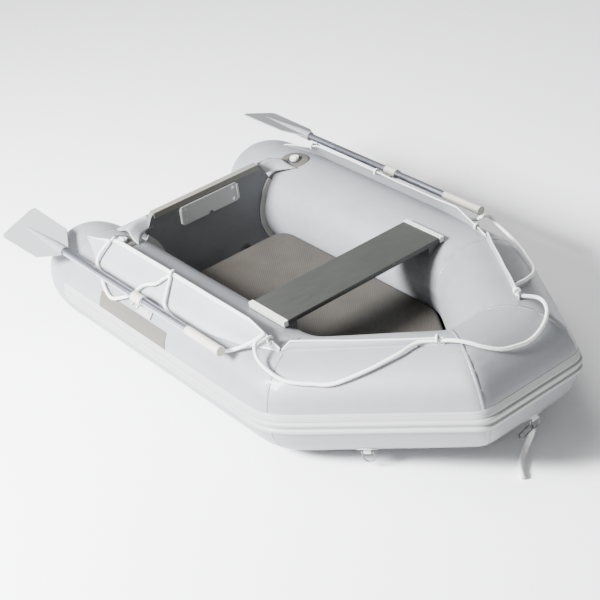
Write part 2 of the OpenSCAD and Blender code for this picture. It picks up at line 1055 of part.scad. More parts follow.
// Moulded trims closing the board's two ends
module seat_end_caps()
    color([0.85, 0.85, 0.82])
        both()
            translate([seat_x, 0, seat_z])
                intersection() {
                    translate([-seat_w / 2 - 2, -seat_len / 2, 0])
                        cube([seat_w + 4, 20 - glue, seat_t + 2]);
                    translate([0, 140 - seat_len / 2, -10])
                        cylinder(r = 176, h = 60, $fn = 96);
                }

// Rings and snap hook ------------------------------------------------------------------

module side_ring_frame()
    on_surface(1, side_ring_run, side_ring_angle)
        translate([0, 0, bar_h])
            children();

// Local X along the front tube to port, local Z out of the tube
module bow_ring_frame()
    translate(bow_ring_at)
        rotate([0, 0, 90])
            children();

// Disc on the tube with a strap round the ring's bar
module ring_patch()
    difference() {
        union() {
            intersection() {
                translate([0, 0, -30])
                    cylinder(r = 38, h = 40);
                translate([-50, 0, -bar_h])
                    rotate([0, 90, 0])
                        cylinder(r = tube_r + 2.4, h = 100, $fn = 96);
            }
            rotate([0, 90, 0])
                cylinder(r = strap_r, h = 26, center = true);
            translate([-13, -strap_r, -bar_h + tube_r])
                cube([26, 2 * strap_r, bar_h - tube_r]);
        }
        translate([-50, 0, -bar_h])
            rotate([0, 90, 0])
                cylinder(r = tube_r + glue, h = 100, $fn = 96);
        rotate([0, 90, 0])
            cylinder(r = ring_wire + run_gap, h = 60, center = true);
    }

module ring_patches()
    color([0.8, 0.8, 0.8]) {
        both()
            side_ring_frame()
                ring_patch();
        bow_ring_frame()
            rotate([90 - bow_ring_angle, 0, 0])
                ring_patch();
    }

// D-shaped ring: straight bar on X, two legs and a half circle hanging below
module d_ring() {
    rotate([0, 90, 0])
        cylinder(r = ring_wire, h = 2 * ring_half, center = true);
    for (s = [-1, 1])
        translate([s * ring_half, 0, 0]) {
            sphere(ring_wire);
            translate([0, 0, -ring_drop])
                cylinder(r = ring_wire, h = ring_drop);
        }
    translate([0, 0, -ring_drop])
        rotate([-90, 0, 0])
            rotate_extrude(angle = 180)
                translate([ring_half, 0])
                    circle(ring_wire, $fn = 24);
}

module tow_ring_bow()
    color([0.35, 0.35, 0.35])
        bow_ring_frame()
            d_ring();

// The side rings hang straight down from their bars
module tow_ring_side()
    color([0.35, 0.35, 0.35])
        side_ring_frame()
            rotate([side_ring_angle - 90, 0, 0])
                d_ring();

module tow_ring_starboard()
    tow_ring_side();

module tow_ring_port()
    port()
        tow_ring_side();

// Snap hook reaching to starboard from the bow ring: local X runs along it
module hook_frame()
    translate(hook_at)
        rotate([0, 0, -90])
            rotate([0, 20, 0])
                children();

module carabiner()
    color([0.3, 0.3, 0.3])
        hook_frame() {
            for (s = [0, 1])
                translate([s * 2 * hook_half, 0, 0])
                    rotate([0, 0, s ? -90 : 90])
                        rotate_extrude(angle = 180)
                            translate([hook_r, 0])
                                circle(hook_wire, $fn = 24);
            translate([0, -hook_r, 0])
                rotate([0, 90, 0])
                    cylinder(r = hook_wire, h = 2 * hook_half);
        }

module carabiner_gate()
    color([0.4, 0.4, 0.4])
        hook_frame()
            translate([0.4, hook_r, 0])
                rotate([0, 90, 0])
                    cylinder(r = hook_wire, h = 2 * hook_half - 2);

// Ropes --------------------------------------------------------------------------------

rope_sides = 8;

function tangent(p, i) = unit(p[min(i + 1, len(p) - 1)] - p[max(i - 1, 0)]);

// Normal carried along the route without twisting
function normals(p, i, n) =
    i == len(p)
        ? []
        : let (t = tangent(p, i), m = unit(n - (n * t) * t)) concat([m], normals(p, i + 1, m));

// Round rope swept along a route
module rope(p, r) {
    side = normals(p, 0, [0.3, 0.5, 0.8]);
    last = rope_sides * (len(p) - 1);
    points = [
        for (i = [0:len(p) - 1])
            let (n = side[i], b = cross(tangent(p, i), n))
            for (k = [0:rope_sides - 1])
                let (a = 360 * k / rope_sides)
                p[i] + r * (cos(a) * n + sin(a) * b)
    ];
    walls = [
        for (i = [0:len(p) - 2])
            for (k = [0:rope_sides - 1])
                let (
                    a = rope_sides * i + k,
                    b = rope_sides * i + (k + 1) % rope_sides
                )
                each [[a, a + rope_sides, b], [b, a + rope_sides, b + rope_sides]]
    ];
    first_cap = [for (k = [0:rope_sides - 1]) k];
    last_cap = [for (k = [rope_sides - 1:-1:0]) last + k];
    polyhedron(points, concat(walls, [first_cap, last_cap]));
}

module painter_rope()
    color([0.93, 0.93, 0.92])
        rope(painter_route, painter_r);

module lifeline()
    color([0.93, 0.93, 0.92])
        rope(line_route, line_r);

tube_side_starboard();
tube_side_port();
stern_end_starboard();
stern_end_port();
tube_bow_starboard();
tube_bow_port();
tube_bow_front();
air_baffle();
rub_rail_starboard();
rub_rail_port();
rub_rail_bow_starboard();
rub_rail_bow_port();
rub_rail_front();
bottom_fabric();
keel_tube();
air_deck();
deck_valve_body();
deck_valve_cap();
transom_board();
transom_cap();
motor_pad_inner();
motor_pad_outer();
pad_bolts();
transom_holder_starboard();
transom_holder_port();
transom_wings();
drain_body();
drain_plug();
valve_body_starboard();
valve_cap_starboard();
valve_body_port();
valve_cap_port();
flap_side_starboard();
flap_side_port();
flap_bow_starboard();
flap_bow_port();
flap_eyelets();
oarlock_patches();
oarlock_base_starboard();
oarlock_base_port();
oarlock_starboard();
oarlock_port();
oar_shaft_starboard();
oar_shaft_port();
oar_blade_starboard();
oar_blade_port();
oar_grip_starboard();
oar_grip_port();
seat_rests();
seat_board();
seat_end_caps();
ring_patches();
tow_ring_bow();
tow_ring_starboard();
tow_ring_port();
carabiner();
carabiner_gate();
painter_rope();
lifeline();
lifeline_hitches();
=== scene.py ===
import math

import bmesh
import bpy
import numpy as np
from mathutils import Matrix, Vector


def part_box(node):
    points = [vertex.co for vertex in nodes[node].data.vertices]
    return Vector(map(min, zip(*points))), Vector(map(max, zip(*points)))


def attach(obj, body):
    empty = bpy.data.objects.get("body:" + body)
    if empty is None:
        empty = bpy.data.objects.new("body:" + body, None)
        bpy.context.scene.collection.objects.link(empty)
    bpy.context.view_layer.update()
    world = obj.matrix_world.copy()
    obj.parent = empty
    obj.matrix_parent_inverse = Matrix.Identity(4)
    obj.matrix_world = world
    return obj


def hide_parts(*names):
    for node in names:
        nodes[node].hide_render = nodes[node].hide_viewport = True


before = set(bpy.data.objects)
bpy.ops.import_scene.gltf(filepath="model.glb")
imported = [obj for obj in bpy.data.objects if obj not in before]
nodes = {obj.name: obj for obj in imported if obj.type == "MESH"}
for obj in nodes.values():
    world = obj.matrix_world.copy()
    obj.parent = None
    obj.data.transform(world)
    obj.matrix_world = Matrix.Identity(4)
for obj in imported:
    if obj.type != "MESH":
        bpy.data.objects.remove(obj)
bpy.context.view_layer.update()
scene = bpy.context.scene
random = np.random.default_rng(7)


# Materials ------------------------------------------------------------------------------


class Shader:
    """A material with a Principled shader, and short calls for its nodes."""

    def __init__(self, name, roughness, metallic=0.0, coat=0.0, sheen=0.0, ior=1.46):
        self.material = bpy.data.materials.new(name)
        self.material.use_nodes = True
        self.tree = self.material.node_tree
        self.shader = self.tree.nodes["Principled BSDF"]
        self.shader.inputs["Roughness"].default_value = roughness
        self.shader.inputs["Metallic"].default_value = metallic
        self.shader.inputs["Coat Weight"].default_value = coat
        self.shader.inputs["Sheen Weight"].default_value = sheen
        self.shader.inputs["IOR"].default_value = ior
        self.place = self.tree.nodes.new("ShaderNodeTexCoord")

    def link(self, a, b):
        self.tree.links.new(a, b)

    def coordinates(self, kind, scale):
        node = self.tree.nodes.new("ShaderNodeMapping")
        node.inputs["Scale"].default_value = scale
        self.link(self.place.outputs[kind], node.inputs["Vector"])
        return node.outputs["Vector"]

    def noise(self, scale, detail=3.0, kind="Object", stretch=(1, 1, 1), roughness=0.5):
        node = self.tree.nodes.new("ShaderNodeTexNoise")
        node.inputs["Scale"].default_value = scale
        node.inputs["Detail"].default_value = detail
        node.inputs["Roughness"].default_value = roughness
        self.link(self.coordinates(kind, stretch), node.inputs["Vector"])
        return node.outputs["Fac"]

    def wave(self, scale, direction, kind="Object", distortion=0.0):
        node = self.tree.nodes.new("ShaderNodeTexWave")
        node.bands_direction = direction
        node.inputs["Scale"].default_value = scale
        node.inputs["Distortion"].default_value = distortion
        self.link(self.coordinates(kind, (1, 1, 1)), node.inputs["Vector"])
        return node.outputs["Fac"]

    def math(self, operation, a, b):
        node = self.tree.nodes.new("ShaderNodeMath")
        node.operation = operation
        for socket, value in zip(node.inputs, (a, b)):
            if isinstance(value, (int, float)):
                socket.default_value = value
            else:
                self.link(value, socket)
        return node.outputs[0]

    def spread(self, value, low, high, start=0.3, end=0.7):
        node = self.tree.nodes.new("ShaderNodeMapRange")
        node.inputs["From Min"].default_value = start
        node.inputs["From Max"].default_value = end
        node.inputs["To Min"].default_value = low
        node.inputs["To Max"].default_value = high
        self.link(value, node.inputs["Value"])
        return node.outputs["Result"]

    def colours(self, value, stops):
        node = self.tree.nodes.new("ShaderNodeValToRGB")
        ramp = node.color_ramp
        while len(ramp.elements) < len(stops):
            ramp.elements.new(0.5)
        for element, (position, colour) in zip(ramp.elements, stops):
            element.position = position
            element.color = (*colour, 1)
        self.link(value, node.inputs["Fac"])
        self.link(node.outputs["Color"], self.shader.inputs["Base Color"])

    def roughen(self, value, low, high):
        self.link(self.spread(value, low, high), self.shader.inputs["Roughness"])

    def bump(self, *layers):
        """Layers of (height, depth in metres, strength), from the finest up."""
        normal = None
        for height, distance, strength in layers:
            node = self.tree.nodes.new("ShaderNodeBump")
            node.inputs["Distance"].default_value = distance
            node.inputs["Strength"].default_value = strength
            self.link(height, node.inputs["Height"])
            if normal is not None:
                self.link(normal, node.inputs["Normal"])
            normal = node.outputs["Normal"]
        self.link(normal, self.shader.inputs["Normal"])
        return self.material


def shade(colour, k):
    return tuple(min(1.0, c * k) for c in colour)


def coated_fabric(name, colour, roughness=0.42, scrim=0.35, mottle=0.05, grime=0.06):
    """PVC on a woven scrim: the weave shows faintly through a satin coat."""
    m = Shader(name, roughness, coat=0.12)
    clouds = m.noise(5.0, 4.0)
    handling = m.noise(38.0, 5.0, roughness=0.65)
    mixed = m.math("ADD", m.math("MULTIPLY", clouds, 0.65), m.math("MULTIPLY", handling, 0.35))
    m.colours(
        mixed,
        [
            (0.32, shade(colour, 1 - mottle - grime)),
            (0.46, shade(colour, 1 - mottle / 2)),
            (0.60, shade(colour, 1 + mottle / 2)),
        ],
    )
    m.roughen(handling, roughness - 0.05, roughness + 0.09)
    weave = m.math(
        "ADD",
        m.wave(420.0, "X"),
        m.math("ADD", m.wave(420.0, "Y"), m.wave(420.0, "Z")),
    )
    slack = m.noise(14.0, 2.0)
    return m.bump((weave, 0.00008, scrim), (slack, 0.0016, 0.22))


def moulded(name, colour, roughness=0.45, grain=700.0, depth=0.00012, wear=0.08):
    """Moulded plastic or rubber with a fine spark-eroded grain and scuffs."""
    m = Shader(name, roughness, coat=0.05)
    scuffs = m.noise(60.0, 5.0, stretch=(1, 3, 3), roughness=0.7)
    m.colours(
        scuffs,
        [
            (0.30, shade(colour, 1 - wear)),
            (0.52, colour),
            (0.74, shade(colour, 1 + wear)),
        ],
    )
    m.roughen(scuffs, roughness - 0.07, roughness + 0.1)
    return m.bump((m.noise(grain, 2.0), depth, 0.5), (m.noise(45.0, 2.0), 0.0004, 0.12))


def metal(name, colour, roughness, stretch=(1, 1, 1), grain=260.0, wear=0.1):
    """Drawn or brushed metal with lines along one axis and a few scratches."""
    m = Shader(name, roughness, metallic=1.0)
    lines = m.noise(grain, 3.0, stretch=stretch)
    marks = m.noise(24.0, 5.0, roughness=0.7)
    m.colours(
        marks,
        [(0.3, shade(colour, 1 - wear)), (0.55, colour), (0.75, shade(colour, 1 + wear))],
    )
    m.roughen(lines, roughness - 0.06, roughness + 0.12)
    return m.bump((lines, 0.0001, 0.3))


def anti_slip(name, colour):
    """Deck cover: fine diamond ribs pressed into the coat, greyer where feet scuff it."""
    m = Shader(name, 0.62)
    scuffs = m.noise(7.0, 5.0, roughness=0.6)
    fine = m.noise(150.0, 3.0)
    mixed = m.math("ADD", m.math("MULTIPLY", scuffs, 0.7), m.math("MULTIPLY", fine, 0.3))
    m.colours(
        mixed,
        [(0.34, shade(colour, 0.82)), (0.5, colour), (0.66, shade(colour, 1.18))],
    )
    ribs = m.math("MAXIMUM", m.wave(52.0, "DIAGONAL"), m.math("MULTIPLY", m.wave(105.0, "Y"), 0.7))
    return m.bump((ribs, 0.0007, 0.75), (m.noise(10.0, 2.0), 0.0015, 0.2))


def plank(name, colour):
    """Painted board with a faint grain along its length."""
    m = Shader(name, 0.5, coat=0.1)
    grain = m.noise(26.0, 5.0, stretch=(9, 0.6, 9), roughness=0.6)
    patches = m.noise(3.5, 3.0)
    mixed = m.math("ADD", m.math("MULTIPLY", grain, 0.5), m.math("MULTIPLY", patches, 0.5))
    m.colours(
        mixed,
        [(0.36, shade(colour, 0.88)), (0.5, colour), (0.64, shade(colour, 1.1))],
    )
    m.roughen(grain, 0.42, 0.6)
    return m.bump((grain, 0.0003, 0.3), (m.noise(500.0, 2.0), 0.0001, 0.4))


def braid(name, colour):
    """Polyester braid: a fine dark speckle that stands for painted shade in the gaps between strands,
    with stray fibre ends.
    """
    m = Shader(name, 0.72, sheen=0.25)
    # Fine speckle: painted shade for the gaps between strands, and the relief of stray fibre ends;
    # the coarse noise below is dirt.
    fibre_speckle_and_gap_shade = m.noise(900.0, 3.0)
    dirt = m.noise(30.0, 4.0)
    mixed = m.math("ADD", m.math("MULTIPLY", fibre_speckle_and_gap_shade, 0.4), m.math("MULTIPLY", dirt, 0.6))
    m.colours(
        mixed,
        [(0.3, shade(colour, 0.8)), (0.48, shade(colour, 0.96)), (0.62, shade(colour, 1.04))],
    )
    return m.bump((fibre_speckle_and_gap_shade, 0.0003, 0.5), (m.noise(260.0, 2.0), 0.0004, 0.35))


TUBE = coated_fabric("tube_pvc", (0.215, 0.222, 0.235))
FLAP = coated_fabric("flap_pvc", (0.31, 0.318, 0.33), 0.4)
HEM = coated_fabric("flap_hem", (0.52, 0.52, 0.52), 0.38, 0.2)
PATCH = coated_fabric("patch_cloth", (0.080, 0.074, 0.062), 0.7, 0.9, 0.08, 0.08)
HULL_CLOTH = coated_fabric("bottom_pvc", (0.26, 0.265, 0.265), 0.5)
WING = coated_fabric("wing_pvc", (0.26, 0.265, 0.27), 0.45, 0.6)
RAIL = moulded("rail_rubber", (0.33, 0.333, 0.325), 0.42)
DECK = anti_slip("deck_cloth", (0.038, 0.034, 0.028))
BOARD = plank("transom_paint", (0.115, 0.118, 0.122))
TRIM = moulded("transom_rubber", (0.17, 0.165, 0.14), 0.5)
HOLDER = moulded("holder_rubber", (0.33, 0.33, 0.31), 0.5)
PAD = moulded("pad_plastic", (0.42, 0.42, 0.41), 0.5)
OUTER_PAD = moulded("outer_pad_plastic", (0.12, 0.12, 0.12), 0.5)
BOLT = metal("bolt_steel", (0.66, 0.66, 0.66), 0.3)
BASE = moulded("base_rubber", (0.34, 0.34, 0.325), 0.6)
DARK_RUBBER = moulded("rest_rubber", (0.10, 0.10, 0.095), 0.65)
BLACK = moulded("black_plastic", (0.03, 0.03, 0.03), 0.4)
CAP = moulded("cap_plastic", (0.55, 0.55, 0.53), 0.4)
COLLAR = moulded("oarlock_plastic", (0.46, 0.445, 0.38), 0.42)
SHAFT = metal("shaft_aluminium", (0.40, 0.42, 0.47), 0.3, stretch=(0.02, 1, 1))
BLADE = moulded("blade_plastic", (0.22, 0.222, 0.226), 0.42)
GRIP = moulded("grip_plastic", (0.44, 0.425, 0.37), 0.5)
SEAT = plank("seat_paint", (0.028, 0.029, 0.026))
SEAT_TRIM = moulded("seat_trim", (0.55, 0.55, 0.52), 0.35)
RING = metal("ring_steel", (0.22, 0.22, 0.22), 0.28)
ROPE = braid("rope_braid", (0.66, 0.655, 0.63))
RING_PATCH = moulded("ring_patch", (0.55, 0.55, 0.56), 0.55)


# Meshes ---------------------------------------------------------------------------------


def piece(name, vertices, faces, material, body, replaced=()):
    mesh = bpy.data.meshes.new(name)
    mesh.from_pydata(np.asarray(vertices, float).tolist(), [], faces)
    mesh.validate()
    mesh.materials.append(material)
    mesh.polygons.foreach_set("use_smooth", [True] * len(mesh.polygons))
    made = bpy.data.objects.new(name, mesh)
    scene.collection.objects.link(made)
    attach(made, body)
    if replaced:
        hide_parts(*replaced)
    return made


def loft_faces(n, m, start=0, loop=False):
    """Quads of n closed rings of m points, with both ends capped unless it is a loop."""
    faces = []
    for i in range(n if loop else n - 1):
        a, b = start + i * m, start + (i + 1) % n * m
        for j in range(m):
            k = (j + 1) % m
            faces.append((a + j, a + k, b + k, b + j))
    if not loop:
        faces.append(tuple(start + j for j in reversed(range(m))))
        faces.append(tuple(start + (n - 1) * m + j for j in range(m)))
    return faces


def loft(name, rings, material, body, replaced=(), loop=False):
    """A closed solid through rings of points, an array of rings x points x 3."""
    rings = np.asarray(rings, float)
    n, m = rings.shape[:2]
    faces = loft_faces(n, m, 0, loop)
    made = piece(name, rings.reshape(-1, 3), faces, material, body, replaced)
    tidy_normals(made)
    return made


def tidy_normals(made):
    work = bmesh.new()
    work.from_mesh(made.data)
    bmesh.ops.recalc_face_normals(work, faces=work.faces)
    work.to_mesh(made.data)
    work.free()


def sharpen(made, degrees=35.0):
    """Hard edges where faces meet at more than this angle."""
    made.data.set_sharp_from_angle(angle=math.radians(degrees))


def mirrored(points):
    return np.asarray(points) * np.array([1, -1, 1])


# The collar's frame ---------------------------------------------------------------------

tube_r, tube_y = 0.200, 0.470
stern_x, cone_x, bend_x = -1.055, -0.810, 0.464
nose_x, nose_y, rise = 0.975, 0.124, 0.088
corners = np.array(
    [
        [cone_x, -tube_y, tube_r],
        [bend_x, -tube_y, tube_r],
        [nose_x, -nose_y, tube_r + rise],
        [nose_x, nose_y, tube_r + rise],
        [bend_x, tube_y, tube_r],
        [cone_x, tube_y, tube_r],
    ]
)
legs = np.diff(corners, axis=0)
lengths = np.linalg.norm(legs, axis=1)
along = legs / lengths[:, None]
out = np.stack([along[:, 1], -along[:, 0], np.zeros(5)], 1)
out /= np.linalg.norm(out, axis=1)[:, None]
up = np.cross(out, along)
up *= np.sign(up[:, 2])[:, None]
starts = np.concatenate([[0], np.cumsum(lengths)])
mitres = [along[0]] + [along[i] + along[i + 1] for i in range(4)] + [along[4]]


def corner_twist(k):
    """How far an angle on one tube differs from the same point's angle on the next."""
    n = mitres[k] / np.linalg.norm(mitres[k])
    point = out[k - 1]
    point = point - along[k - 1] * (point @ n) / (along[k - 1] @ n)
    side = point - along[k] * (point @ along[k])
    return math.atan2(side @ up[k], side @ out[k])


twists = [0.0] + [corner_twist(k) for k in range(1, 5)] + [0.0]
ROW = 0.006
# Rows over which the collar's corners are rounded: at the bow, and where the bow tubes begin
CRISP, SOFT = 7, 22


def leg_rows():
    rows = []
    for i in range(5):
        n = int(round(lengths[i] / ROW))
        rows += [(i, t) for t in np.linspace(0, 1, n, endpoint=False)]
    rows.append((4, 1.0))
    return rows


ROWS = leg_rows()
ROW_AT = np.array([starts[i] + t * lengths[i] for i, t in ROWS])
MID_BOW = [starts[1] + lengths[1] / 2, starts[3] + lengths[3] / 2]


def rounded(points, reach):
    """Rows of points averaged along the collar over a number of rows each way."""
    kernel = np.hanning(2 * reach + 3)[1:-1]
    kernel = kernel / kernel.sum()
    count = np.arange(1, reach + 1)[:, None, None]
    padded = np.concatenate(
        [
            points[:1] - (points[1:2] - points[:1]) * count[::-1],
            points,
            points[-1:] + (points[-1:] - points[-2:-1]) * count,
        ]
    )
    smooth = np.zeros_like(points)
    for k, weight in enumerate(kernel):
        smooth += weight * padded[k : k + len(points)]
    return smooth


def on_collar(angles, radii):
    """Rows x points on the collar, at angles in degrees from outboard and radii in metres.

    Radii are one number, one per point, or rows x points. The corners are rounded."""
    angles = np.radians(np.asarray(angles, float))
    radii = np.broadcast_to(radii, (len(ROWS), len(angles)))
    points = np.zeros((len(ROWS), len(angles), 3))
    for row, (i, t) in enumerate(ROWS):
        r = radii[row][:, None]
        ends = []
        for k, turn in ((i, twists[i] / 2), (i + 1, -twists[i + 1] / 2)):
            a = (angles + turn)[:, None]
            at = r * (np.cos(a) * out[i] + np.sin(a) * up[i])
            n = mitres[k]
            base = corners[k] - corners[i]
            ends.append(((base - at) @ n) / (along[i] @ n))
        a = (angles + (1 - t) * twists[i] / 2 - t * twists[i + 1] / 2)[:, None]
        x = ((1 - t) * ends[0] + t * ends[1])[:, None]
        points[row] = corners[i] + r * (np.cos(a) * out[i] + np.sin(a) * up[i]) + x * along[i]
    at_bow = (ROW_AT > MID_BOW[0]) & (ROW_AT < MID_BOW[1])
    return np.where(at_bow[:, None, None], rounded(points, CRISP), rounded(points, SOFT))


# How far a glued-on piece reaches below the collar's surface
GLUED_IN = 0.0006


def rows_between(a, b):
    return (ROW_AT >= a - 1e-6) & (ROW_AT <= b + 1e-6)


def band(name, a, b, angle_a, angle_b, lift, material, body="hull", replaced=(), steps=24):
    """A patch glued on the collar between two distances along it and two angles."""
    angles = np.linspace(angle_a, angle_b, steps)
    keep = rows_between(a, b)
    top = on_collar(angles, tube_r + lift)[keep]
    under = on_collar(angles[::-1], tube_r - GLUED_IN)[keep]
    return loft(name, np.concatenate([top, under], 1), material, body, replaced)


def ring_band(name, centre, half, lift, material):
    """A tape all round the collar."""
    angles = np.linspace(0, 360, 96, endpoint=False)
    keep = rows_between(centre - half, centre + half)
    top = on_collar(angles, tube_r + lift)[keep]
    under = on_collar(angles, tube_r - GLUED_IN)[keep]
    rings = np.concatenate([top, under[::-1]], 0)
    return loft(name, rings, material, "hull", loop=True)


# Buoyancy collar ------------------------------------------------------------------------

AROUND = 112
END_STEPS = 22
END_POWER = 2.6


def puckers():
    """Small creases that run out of each corner seam, and the softness of the cloth."""
    angles = np.linspace(0, 2 * math.pi, AROUND, endpoint=False)
    lift = np.zeros((len(ROWS), AROUND))
    for k in range(1, 5):
        distance = ROW_AT[:, None] - starts[k]
        phase = random.uniform(0, 6.28, 3)
        strength = 0.5 - 0.5 * np.cos(angles)
        creases = (
            np.sin(21 * angles + phase[0])
            + 0.7 * np.sin(34 * angles + phase[1])
            + 0.5 * np.sin(13 * angles + phase[2])
        )
        lift += (0.00045 + 0.0008 * strength) * creases * np.exp(-((distance / 0.055) ** 2))
    for _ in range(5):
        k, m = random.integers(2, 9), random.integers(1, 5)
        a, b = random.uniform(0, 6.28, 2)
        lift += 0.0004 * np.sin(k * ROW_AT[:, None] * 2 + a) * np.sin(m * angles + b)
    return lift


def buoyancy_collar():
    angles = np.linspace(0, 360, AROUND, endpoint=False)
    body = on_collar(angles, tube_r + puckers())
    a = np.radians(angles)[:, None]
    stern = []
    for s in np.sin(np.linspace(math.pi / 2, 0, END_STEPS, endpoint=False)):
        r = tube_r * max(0.004, (1 - s**END_POWER) ** (1 / END_POWER))
        x = cone_x - (cone_x - stern_x) * s
        ring = np.array([x, -tube_y, tube_r]) + r * (np.cos(a) * out[0] + np.sin(a) * up[0])
        stern.append(ring)
    stern = np.array(stern)
    rings = np.concatenate([stern, body, mirrored(stern)[::-1]])
    return loft(
        "buoyancy_collar",
        rings,
        TUBE,
        "hull",
        [
            "tube_side_starboard",
            "tube_side_port",
            "stern_end_starboard",
            "stern_end_port",
            "tube_bow_starboard",
            "tube_bow_port",
            "tube_bow_front",
            "air_baffle",
        ],
    )


collar = buoyancy_collar()
# Tapes over the seams: half the width of each, and how far it stands off the collar
for k, half, lift in ((1, 0.011, 0.0003), (2, 0.008, 0.0006), (3, 0.008, 0.0006), (4, 0.011, 0.0003)):
    ring_band(f"seam_tape_corner_{k}", starts[k], half, lift, TUBE)
STERN_TAPE_HALF, STERN_TAPE_LIFT = 0.012, 0.0004
for k, at in ((1, STERN_TAPE_HALF), (2, starts[5] - STERN_TAPE_HALF)):
    name = f"seam_tape_stern_{k}"
    ring_band(name, at, STERN_TAPE_HALF, STERN_TAPE_LIFT, TUBE)

RAIL_THICK = 0.0017
# Ridges along the rail: the angle of each in degrees, half its width and its rise
BEADS = [(angle, 0.0082, 0.0078) for angle in (2.6, -5.6)]
RIBS = [(angle, 0.0016, 0.0012) for angle in (8.0, 9.8, 11.6)]


def rub_rail():
    """One moulding round the collar: two beads, a valley between them and three fine ribs."""
    profile = [(-10.2, 0.0002), (-9.8, 0.0012)]
    for a in np.linspace(-9.4, 13.4, 104):
        height = RAIL_THICK
        for ridge, half, above in BEADS + RIBS:
            reach = math.radians(abs(a - ridge)) * tube_r / half
            if reach < 1:
                height = max(height, RAIL_THICK + above * math.sqrt(1 - reach**2))
        profile.append((a, height))
    profile += [(13.8, 0.0012), (14.1, 0.0002)]
    top = [(a, tube_r + h) for a, h in profile]
    under = [(a, tube_r - GLUED_IN) for a in np.linspace(13.6, -9.7, 12)]
    section = top + under
    grid = on_collar([a for a, _ in section], np.array([r for _, r in section]))
    return loft(
        "rub_rail",
        grid,
        RAIL,
        "hull",
        [
            "rub_rail_starboard",
            "rub_rail_port",
            "rub_rail_bow_starboard",
            "rub_rail_bow_port",
            "rub_rail_front",
        ],
    )


rub_rail()


# Lifeline flaps -------------------------------------------------------------------------

# Rows of a flap: distance along its leg, angle of its foot on the tube in degrees, and the
# hem's place outboard of the tube's axis and above it
SIDE_FLAP = np.array(
    [
        [0.000, 77, 0.044, 0.199],
        [0.090, 67, 0.046, 0.223],
        [0.186, 55, 0.038, 0.248],
        [0.240, 55, 0.038, 0.271],
        [0.930, 56, 0.038, 0.271],
        [1.100, 65, 0.038, 0.271],
        [1.255, 80, 0.032, 0.208],
    ]
)
BOW_FLAP = np.array(
    [
        [0.000, 85, 0.018, 0.208],
        [0.040, 85, 0.018, 0.243],
        [0.290, 84, 0.021, 0.234],
        [0.592, 84, 0.021, 0.227],
    ]
)
# Thickness of a flap's cloth, and the radius of its rolled hem
FLAP_THICK = 0.0034
HEM_RADIUS = 0.0034
# Points of a flap's section between which the hem's own material lies
HEM_FROM, HEM_TO = 7, 17


def flap_section(table, s, wave):
    """Outline across a flap: out along its outer face, round the hem and back down."""
    a = math.radians(np.interp(s, table[:, 0], table[:, 1]))
    base = (tube_r - 0.001) * np.array([math.cos(a), math.sin(a)])
    top = np.array([np.interp(s, table[:, 0], table[:, 2]), np.interp(s, table[:, 0], table[:, 3])])
    rise_by = np.linalg.norm(top - base)
    v = (top - base) / rise_by
    n = np.array([v[1], -v[0]])
    heights = np.linspace(0, 1, 9)
    sag = 0.0022 * np.sin(math.pi * heights) + wave * heights
    line = [base + v * rise_by * h + n * q for h, q in zip(heights, sag)]
    outer = [p + n * FLAP_THICK for p in line]
    # The foot spreads where it is glued to the tube
    outer[0] = outer[0] + n * 0.004 - v * 0.0015
    middle = line[-1] + n * FLAP_THICK / 2 - v * HEM_RADIUS
    crown = [
        middle + HEM_RADIUS * (math.cos(t) * n + math.sin(t) * v)
        for t in np.linspace(-0.5, math.pi + 0.5, 9)
    ]
    return outer[:-1] + crown + line[-2::-1]


def flap(name, leg, table, mirror, replaced):
    stations = np.linspace(table[0, 0], table[-1, 0], 72)
    phase = random.uniform(0, 6.28)
    rings = []
    for s in stations:
        wave = 0.0016 * math.sin(9 * s + phase) + 0.0007 * math.sin(31 * s)
        section = flap_section(table, s, wave)
        ring = [corners[leg] + along[leg] * s + p[0] * out[leg] + p[1] * up[leg] for p in section]
        rings.append(ring)
    rings = np.array(rings)
    made = loft(name, mirrored(rings) if mirror else rings, FLAP, "hull", [replaced])
    made.data.materials.append(HEM)
    per_ring = rings.shape[1]
    for polygon in made.data.polygons:
        columns = [v % per_ring for v in polygon.vertices]
        if len(columns) == 4 and min(columns) >= HEM_FROM and max(columns) <= HEM_TO:
            polygon.material_index = 1
    sharpen(made, 50)


for mirror, side in ((False, "starboard"), (True, "port")):
    flap(f"side_flap_{side}", 0, SIDE_FLAP, mirror, f"flap_side_{side}")
    flap(f"bow_flap_{side}", 1, BOW_FLAP, mirror, f"flap_bow_{side}")


# Ropes ----------------------------------------------------------------------------------

# Routes in millimetres: the lifeline from stern to bow and across it, and the painter
LINE_SIDE = [
    [-598, -530, 462], [-620, -562, 424], [-628, -590, 382], [-565, -616, 358],
    [-515, -638, 330], [-455, -650, 313], [-400, -638, 330], [-348, -616, 356],
    [-308, -580, 396], [-245, -562, 420], [-183, -530, 462], [-165, -562, 422],
    [-150, -592, 380], [-75, -608, 362], [30, -613, 357], [130, -616, 353],
    [232, -613, 357], [325, -578, 400], [402, -532, 460], [398, -572, 444],
    [424, -592, 408], [486, -593, 379], [557, -578, 363], [654, -526, 367],
    [706, -492, 374], [785, -406, 418], [843, -309, 461], [869, -232, 484],
]
LINE_BOW = [
    [922, -187, 492], [975, -160, 502], [1012, -137, 498], [1051, -111, 487],
    [1088, -66, 470], [1104, -7, 460], [1109, 43, 455], [1103, 98, 461],
    [1083, 153, 472], [1042, 204, 480], [988, 226, 485], [922, 187, 492],
]
LINE_PORT = [[x, -y, z] for x, y, z in reversed(LINE_SIDE)]
PAINTER = [
    [1116, 42, 93], [1116, 32, 76], [1118, 14, 54], [1122, -8, 32],
    [1134, -38, 15], [1156, -66, 11], [1178, -86, 11], [1204, -106, 11],
]


ROPE_STEP = 0.003


